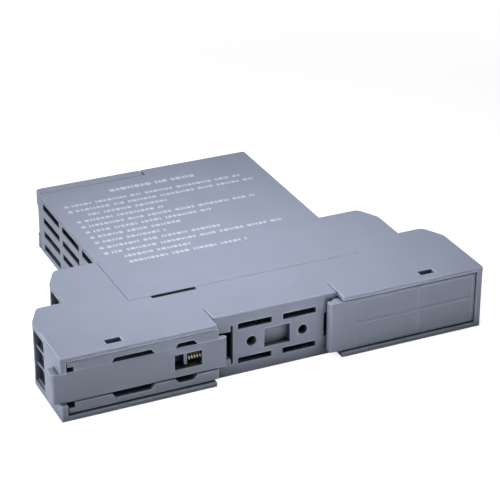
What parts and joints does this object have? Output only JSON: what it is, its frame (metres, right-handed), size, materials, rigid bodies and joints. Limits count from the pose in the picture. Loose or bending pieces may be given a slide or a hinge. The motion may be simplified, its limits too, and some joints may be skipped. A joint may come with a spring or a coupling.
{
  "type": "signal isolator",
  "caption": "Slim grey signal isolator for a mounting rail, with stepped terminal tiers, a vented hood, a hinged front flap and a sprung rail foot.",
  "frame": {"origin": "middle of the rail seat, half way between the broad faces", "axes": "+X along the rail side, +Y from the rail seat to the front, +Z through the thickness"},
  "size_m": [0.1355, 0.1073, 0.02],
  "materials": {
    "housing_plastic": "fine moulded texture",
    "insert_plastic": "fine moulded texture",
    "terminal_plastic": "plain moulded",
    "header_plastic": "plain moulded",
    "contact_brass": "bright",
    "plated_steel": "zinc plated",
    "spring_wire": "drawn wire",
    "board_laminate": "solder mask",
    "ferrite": "sintered",
    "copper_winding": "enamelled wire",
    "chip_plastic": "moulded",
    "capacitor_can": "satin",
    "led_lens": "diffuse",
    "clear_plastic": "clear"
  },
  "bodies": {
    "housing": {"base_housing": "housing_plastic", "hood": "housing_plastic", "flap_pin": "plated_steel", "foot_guide": "insert_plastic", "foot_spring": "spring_wire", "fixed_hook": "insert_plastic", "terminal_block_left_lower": "terminal_plastic", "terminal_block_left_upper": "terminal_plastic", "terminal_block_right_lower": "terminal_plastic", "terminal_block_right_upper": "terminal_plastic", "clamp_cages_left_lower": "contact_brass", "clamp_cages_left_upper": "contact_brass", "clamp_cages_right_lower": "contact_brass", "clamp_cages_right_upper": "contact_brass", "clamp_screws_left_lower": "plated_steel", "clamp_screws_left_upper": "plated_steel", "clamp_screws_right_lower": "plated_steel", "clamp_screws_right_upper": "plated_steel", "contact_strips_left_lower": "contact_brass", "contact_strips_left_upper": "contact_brass", "contact_strips_right_lower": "contact_brass", "contact_strips_right_upper": "contact_brass", "header_left_lower": "header_plastic", "header_left_upper": "header_plastic", "header_right_lower": "header_plastic", "header_right_upper": "header_plastic", "main_board": "board_laminate", "transformer_core": "ferrite", "transformer_winding": "copper_winding", "controller_chip": "chip_plastic", "coupler_chips": "chip_plastic", "power_capacitors": "capacitor_can", "power_inductor": "ferrite", "status_leds": "led_lens", "light_pipes": "clear_plastic", "programming_socket": "plated_steel"},
    "foot": {"foot_slider": "insert_plastic"},
    "flap": {"front_flap": "housing_plastic"}
  },
  "joints": [
    {"name": "foot_slide", "type": "slide", "parent": "housing", "child": "foot", "axis": [-1, 0, 0], "range_m": [0, 0.0024], "stiffness_N_per_m": 2000, "springref_m": -0.001, "deforming": ["foot_spring"]},
    {"name": "flap_hinge", "type": "hinge", "parent": "housing", "child": "flap", "pos_m": [-0.0353, 0.1012, 0], "axis": [0, 0, 1], "range_deg": [0, 110]}
  ]
}
